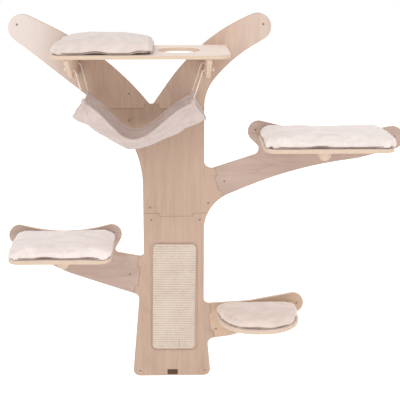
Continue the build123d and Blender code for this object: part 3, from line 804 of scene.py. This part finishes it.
def make_sling():
    """The curved cloth with its folds, and its thickness as geometry."""
    rows, columns = 97, 57
    verts = []
    step = 1e-3
    for i in range(rows):
        for j in range(columns):
            u, v = i / (rows - 1), j / (columns - 1)
            here = sling_point(u, v)
            along = sling_point(min(1, u + step), v) - sling_point(max(0, u - step), v)
            across = sling_point(u, min(1, v + step)) - sling_point(u, max(0, v - step))
            up = across.cross(along).normalized()
            if up.z < 0:
                up = -up
            verts.append(here + up * sling_folds(u, v))
    cloth = new_mesh_object("hammock_cloth", verts, grid_faces(rows, columns))
    thick = cloth.modifiers.new("thickness", "SOLIDIFY")
    thick.thickness = CLOTH_THICKNESS
    thick.offset = 0.0
    round_off = cloth.modifiers.new("round", "SUBSURF")
    round_off.levels = 1
    round_off.render_levels = 1
    apply_modifiers(cloth)
    shade_smooth(cloth)
    set_material(cloth, hammock_fabric)
    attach(cloth, "hammock")
    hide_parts("hammock_sling")
    return cloth


def hem_radius(share):
    """The rolled hem swells and thins a little as it goes round."""
    return HEM_RADIUS + 0.0006 * math.sin(share * 150)


def make_hem():
    """A rolled hem round the sling's edge."""
    long_steps, short_steps = 96, 40
    line = [sling_point(i / long_steps, 1) for i in range(long_steps)]
    line += [sling_point(1, 1 - i / short_steps) for i in range(short_steps)]
    line += [sling_point(1 - i / long_steps, 0) for i in range(long_steps)]
    line += [sling_point(0, i / short_steps) for i in range(short_steps)]
    wavy = [p + Vector((0, 0, 0.0012 * noise.noise(p * 60))) for p in line]
    verts, faces = tube(wavy, hem_radius, sides=14, closed=True)
    hem = new_mesh_object("hammock_hem", verts, faces)
    set_material(hem, hammock_fabric)
    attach(hem, "hammock")
    return hem


def circle(x, y, z, radius, count):
    """Points round a level circle."""
    turns = [2 * math.pi * k / count for k in range(count)]
    return [Vector((x + radius * math.cos(a), y + radius * math.sin(a), z)) for a in turns]


def gather(x, y, top):
    """One corner's pleated cloth, with the hollow at its top that the rope's end goes into."""
    throat_rows, rows, sides = 6, 15, 48
    verts = []
    for i in range(throat_rows):
        depth = THROAT_DEPTH * (1 - i / (throat_rows - 1))
        verts += circle(x, y, top - depth, THROAT_RADIUS, sides)
    for i in range(rows):
        share = i / (rows - 1)
        waist = 0.0012 * math.exp(-(((share - 0.35) / 0.12) ** 2))
        for k in range(sides):
            a = 2 * math.pi * k / sides
            pleat = 0.0007 * math.sin(9 * a + 2 * share) * (0.4 + share)
            radius = 0.0066 + 0.0016 * share**2 + pleat - waist
            z = top - GATHER_LENGTH * share
            verts.append(Vector((x + radius * math.cos(a), y + radius * math.sin(a), z)))
    faces = grid_faces(throat_rows + rows, sides, wrap_columns=True)
    faces.append(tuple(range(sides)))
    faces.append(tuple(range((throat_rows - 1 + rows) * sides, (throat_rows + rows) * sides))[::-1])
    return verts, faces


def make_cuffs():
    """The four gathered corners: pleated cloth bound with cord round the rope's end."""
    found = []
    top = cuff_high.z
    for x in (HAMMOCK_LEFT, HAMMOCK_RIGHT):
        for y in (HAMMOCK_REAR, HAMMOCK_FRONT):
            found.append(gather(x, y, top))
            for turn in range(3):
                ring = circle(x, y, top - BINDING_BELOW - BINDING_PITCH * turn, BINDING_RADIUS, 32)
                found.append(tube(ring, 0.0009, sides=8, closed=True))
    cuffs = join_tubes("hammock_corner_gathers", found)
    set_material(cuffs, hammock_fabric)
    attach(cuffs, "hammock")
    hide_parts("hammock_cuffs")


sling = make_sling()
hem = make_hem()
make_cuffs()


# ---- ropes ----------------------------------------------------------------------------------
def smooth_line(points):
    """The points of a NURBS line through a cord's route."""
    curve = bpy.data.curves.new("route", "CURVE")
    curve.dimensions = "3D"
    curve.resolution_u = 16
    spline = curve.splines.new("NURBS")
    spline.points.add(len(points) - 1)
    for target, source in zip(spline.points, points):
        target.co = (*source, 1)
    spline.order_u = 3
    spline.use_endpoint_u = True
    holder = bpy.data.objects.new("route", curve)
    bpy.context.scene.collection.objects.link(holder)
    mesh = bpy.data.meshes.new_from_object(holder)
    line = [v.co.copy() for v in mesh.vertices]
    bpy.data.objects.remove(holder)
    bpy.data.curves.remove(curve)
    bpy.data.meshes.remove(mesh)
    return line


def resample(line, count):
    """Evenly spaced points along a line, and the line's length."""
    lengths = [0.0]
    for a, b in zip(line, line[1:]):
        lengths.append(lengths[-1] + (b - a).length)
    points = []
    k = 0
    for i in range(count):
        target = lengths[-1] * i / (count - 1)
        while k < len(lengths) - 2 and lengths[k + 1] < target:
            k += 1
        share = (target - lengths[k]) / max(1e-9, lengths[k + 1] - lengths[k])
        points.append(line[k].lerp(line[k + 1], min(1, share)))
    return points, lengths[-1]


def twin_cords(line, radius, pitch):
    """Two thin cords that turn slowly about each other, with the line's points and its length."""
    points, length = resample(line, 60)
    normal = None
    paths = ([], [])
    for i, p in enumerate(points):
        forward = (points[min(len(points) - 1, i + 1)] - points[max(0, i - 1)]).normalized()
        if normal is None:
            normal = Vector((0, 1, 0))
        normal = (normal - forward * normal.dot(forward)).normalized()
        other = forward.cross(normal)
        turn = 2 * math.pi * length * i / (len(points) - 1) / pitch
        away = (normal * math.cos(turn) + other * math.sin(turn)) * radius
        paths[0].append(p + away)
        paths[1].append(p - away)
    return [tube(path, radius * 1.04, sides=10) for path in paths], points, length


ROPE_DIAMETER = 0.0045
CORD_PITCH = 0.11            # the two cords turn once about each other in this length
KNOT_SPAN = 0.0065           # the knot's CAD solid reaches this far below its hole's middle
HOLE_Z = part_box("front_left_knot")[0][2] + KNOT_SPAN
ROPE_OUTSIDE = 0.016         # the rope's end, measured from the bracket's inner face
ROPE_BEND = 0.009            # and the start of its bend, on the inner side
ROPE_INTO_GATHER = 0.003
KNOT_SIZE = 0.00165
KNOT_RADIUS = 0.0019
TAIL_RADIUS = 0.002
BRACKET = {"left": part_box("left_bracket"), "right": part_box("right_bracket")}


def make_rope(side, place):
    """From the knot through the bracket's hole and down to the sling's corner."""
    name = f"{place}_{side}_rope"
    low, high = BRACKET[side]
    inward = 1 if side == "left" else -1
    face = high[0] if side == "left" else low[0]
    y = HAMMOCK_FRONT if place == "front" else HAMMOCK_REAR
    corner_x = HAMMOCK_LEFT if side == "left" else HAMMOCK_RIGHT
    corner = Vector((corner_x, y, cuff_high.z - ROPE_INTO_GATHER))
    outside = Vector((face - inward * ROPE_OUTSIDE, y, HOLE_Z))
    bend = Vector((face + inward * ROPE_BEND, y, HOLE_Z))
    near = bend + (corner - bend).normalized() * 6 * ROPE_DIAMETER
    line = smooth_line([outside, bend, near, corner])
    made, path, length = twin_cords(line, ROPE_DIAMETER / 4, CORD_PITCH)
    rope = join_tubes(name + "_doubled", made)
    set_material(rope, rope_cotton)
    body = f"{place}_ropes"
    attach(rope, body)
    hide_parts(name)

    knot = make_knot(f"{place}_{side}_knot", inward)
    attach(knot, body)


def make_knot(node, inward):
    """A tight stopper knot outside the bracket, with a short tail towards the wall."""
    low, high = (Vector(v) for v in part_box(node))
    centre = (low + high) / 2
    steps = 72
    points = []
    for i in range(steps):
        t = 2 * math.pi * i / steps
        a = KNOT_SIZE * (math.sin(t) + 2 * math.sin(2 * t))
        b = KNOT_SIZE * (math.cos(t) - 2 * math.cos(2 * t))
        c = 1.1 * KNOT_SIZE * -math.sin(3 * t)
        points.append(centre + Vector((c, a, b)))
    start = centre + Vector((0, 0.003, -0.002))
    tail = [start + Vector((-inward * 0.0001 * k, 0.001 * k, -0.0006 * k)) for k in range(10)]
    loops = tube(points, KNOT_RADIUS, sides=10, closed=True)
    knot = join_tubes(node + "_tied", [loops, tube(tail, TAIL_RADIUS, sides=10)])
    set_material(knot, rope_cotton)
    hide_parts(node)
    return knot


for rope_side in ("left", "right"):
    for rope_place in ("front", "rear"):
        make_rope(rope_side, rope_place)


# ---- scratching mat -------------------------------------------------------------------------
MAT_WIDTH = 0.157
MAT_LENGTH = 0.410
MAT_CORNER = 0.017
YARN_TWIST = 0.0062      # the length of one turn of the yarn
GROOVE_DEPTH = 0.002
MAT_EDGE = 0.004         # the border that falls away to the sides
MAT_EDGE_DROP = 0.0018


def weave(x, z):
    """The yarn's height against the mat's outer face: its rows, its twist and loose fibres."""
    phase = z / MAT_ROW * 2 * math.pi
    number = math.floor(z / MAT_ROW)
    groove = abs(math.cos(phase / 2)) ** 0.6
    twist = 0.5 + 0.5 * math.sin(2 * math.pi * (x / YARN_TWIST + 0.37 * number) + phase)
    loose = noise.noise(Vector((x * 90, z * 90, 0)))
    return GROOVE_DEPTH * (groove - 1) + 0.0004 * (twist - 1) + 0.0003 * loose


def make_mat():
    """Woven sisal: a row of yarn every few millimetres, each row a twisted bundle."""
    rows = int(MAT_LENGTH / MAT_ROW * 8)
    columns = 105
    face, rear = [], []
    for i in range(rows + 1):
        z = -MAT_LENGTH / 2 + MAT_LENGTH * i / rows
        beyond = max(0.0, abs(z) - (MAT_LENGTH / 2 - MAT_CORNER))
        half = MAT_WIDTH / 2 - MAT_CORNER + math.sqrt(max(0.0, MAT_CORNER**2 - beyond**2))
        for j in range(columns):
            x = -half + 2 * half * j / (columns - 1)
            edge = 1 - smoothstep(0.0, MAT_EDGE, half - abs(x))
            face.append(Vector((x, mat_low.y - weave(x, z) + MAT_EDGE_DROP * edge, z)))
            rear.append(Vector((x, mat_high.y, z)))
    front = grid_faces(rows + 1, columns)
    count = len(face)
    back = [tuple(count + k for k in reversed(quad)) for quad in front]
    border = (
        list(range(columns))
        + [i * columns + columns - 1 for i in range(1, rows + 1)]
        + [rows * columns + j for j in range(columns - 2, -1, -1)]
        + [i * columns for i in range(rows - 1, 0, -1)]
    )
    sides = [(b, a, count + a, count + b) for a, b in zip(border, border[1:] + border[:1])]
    turned = Matrix.Rotation(MAT_TILT, 3, "Y")
    middle = Vector((mat_middle.x, 0, mat_middle.z))
    placed = [turned @ Vector((v.x, 0, v.z)) + Vector((0, v.y, 0)) + middle for v in face + rear]
    mat = new_mesh_object("sisal_mat", placed, front + back + sides)
    set_material(mat, mat_sisal)
    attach(mat, "tree")
    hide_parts("scratching_mat")


make_mat()
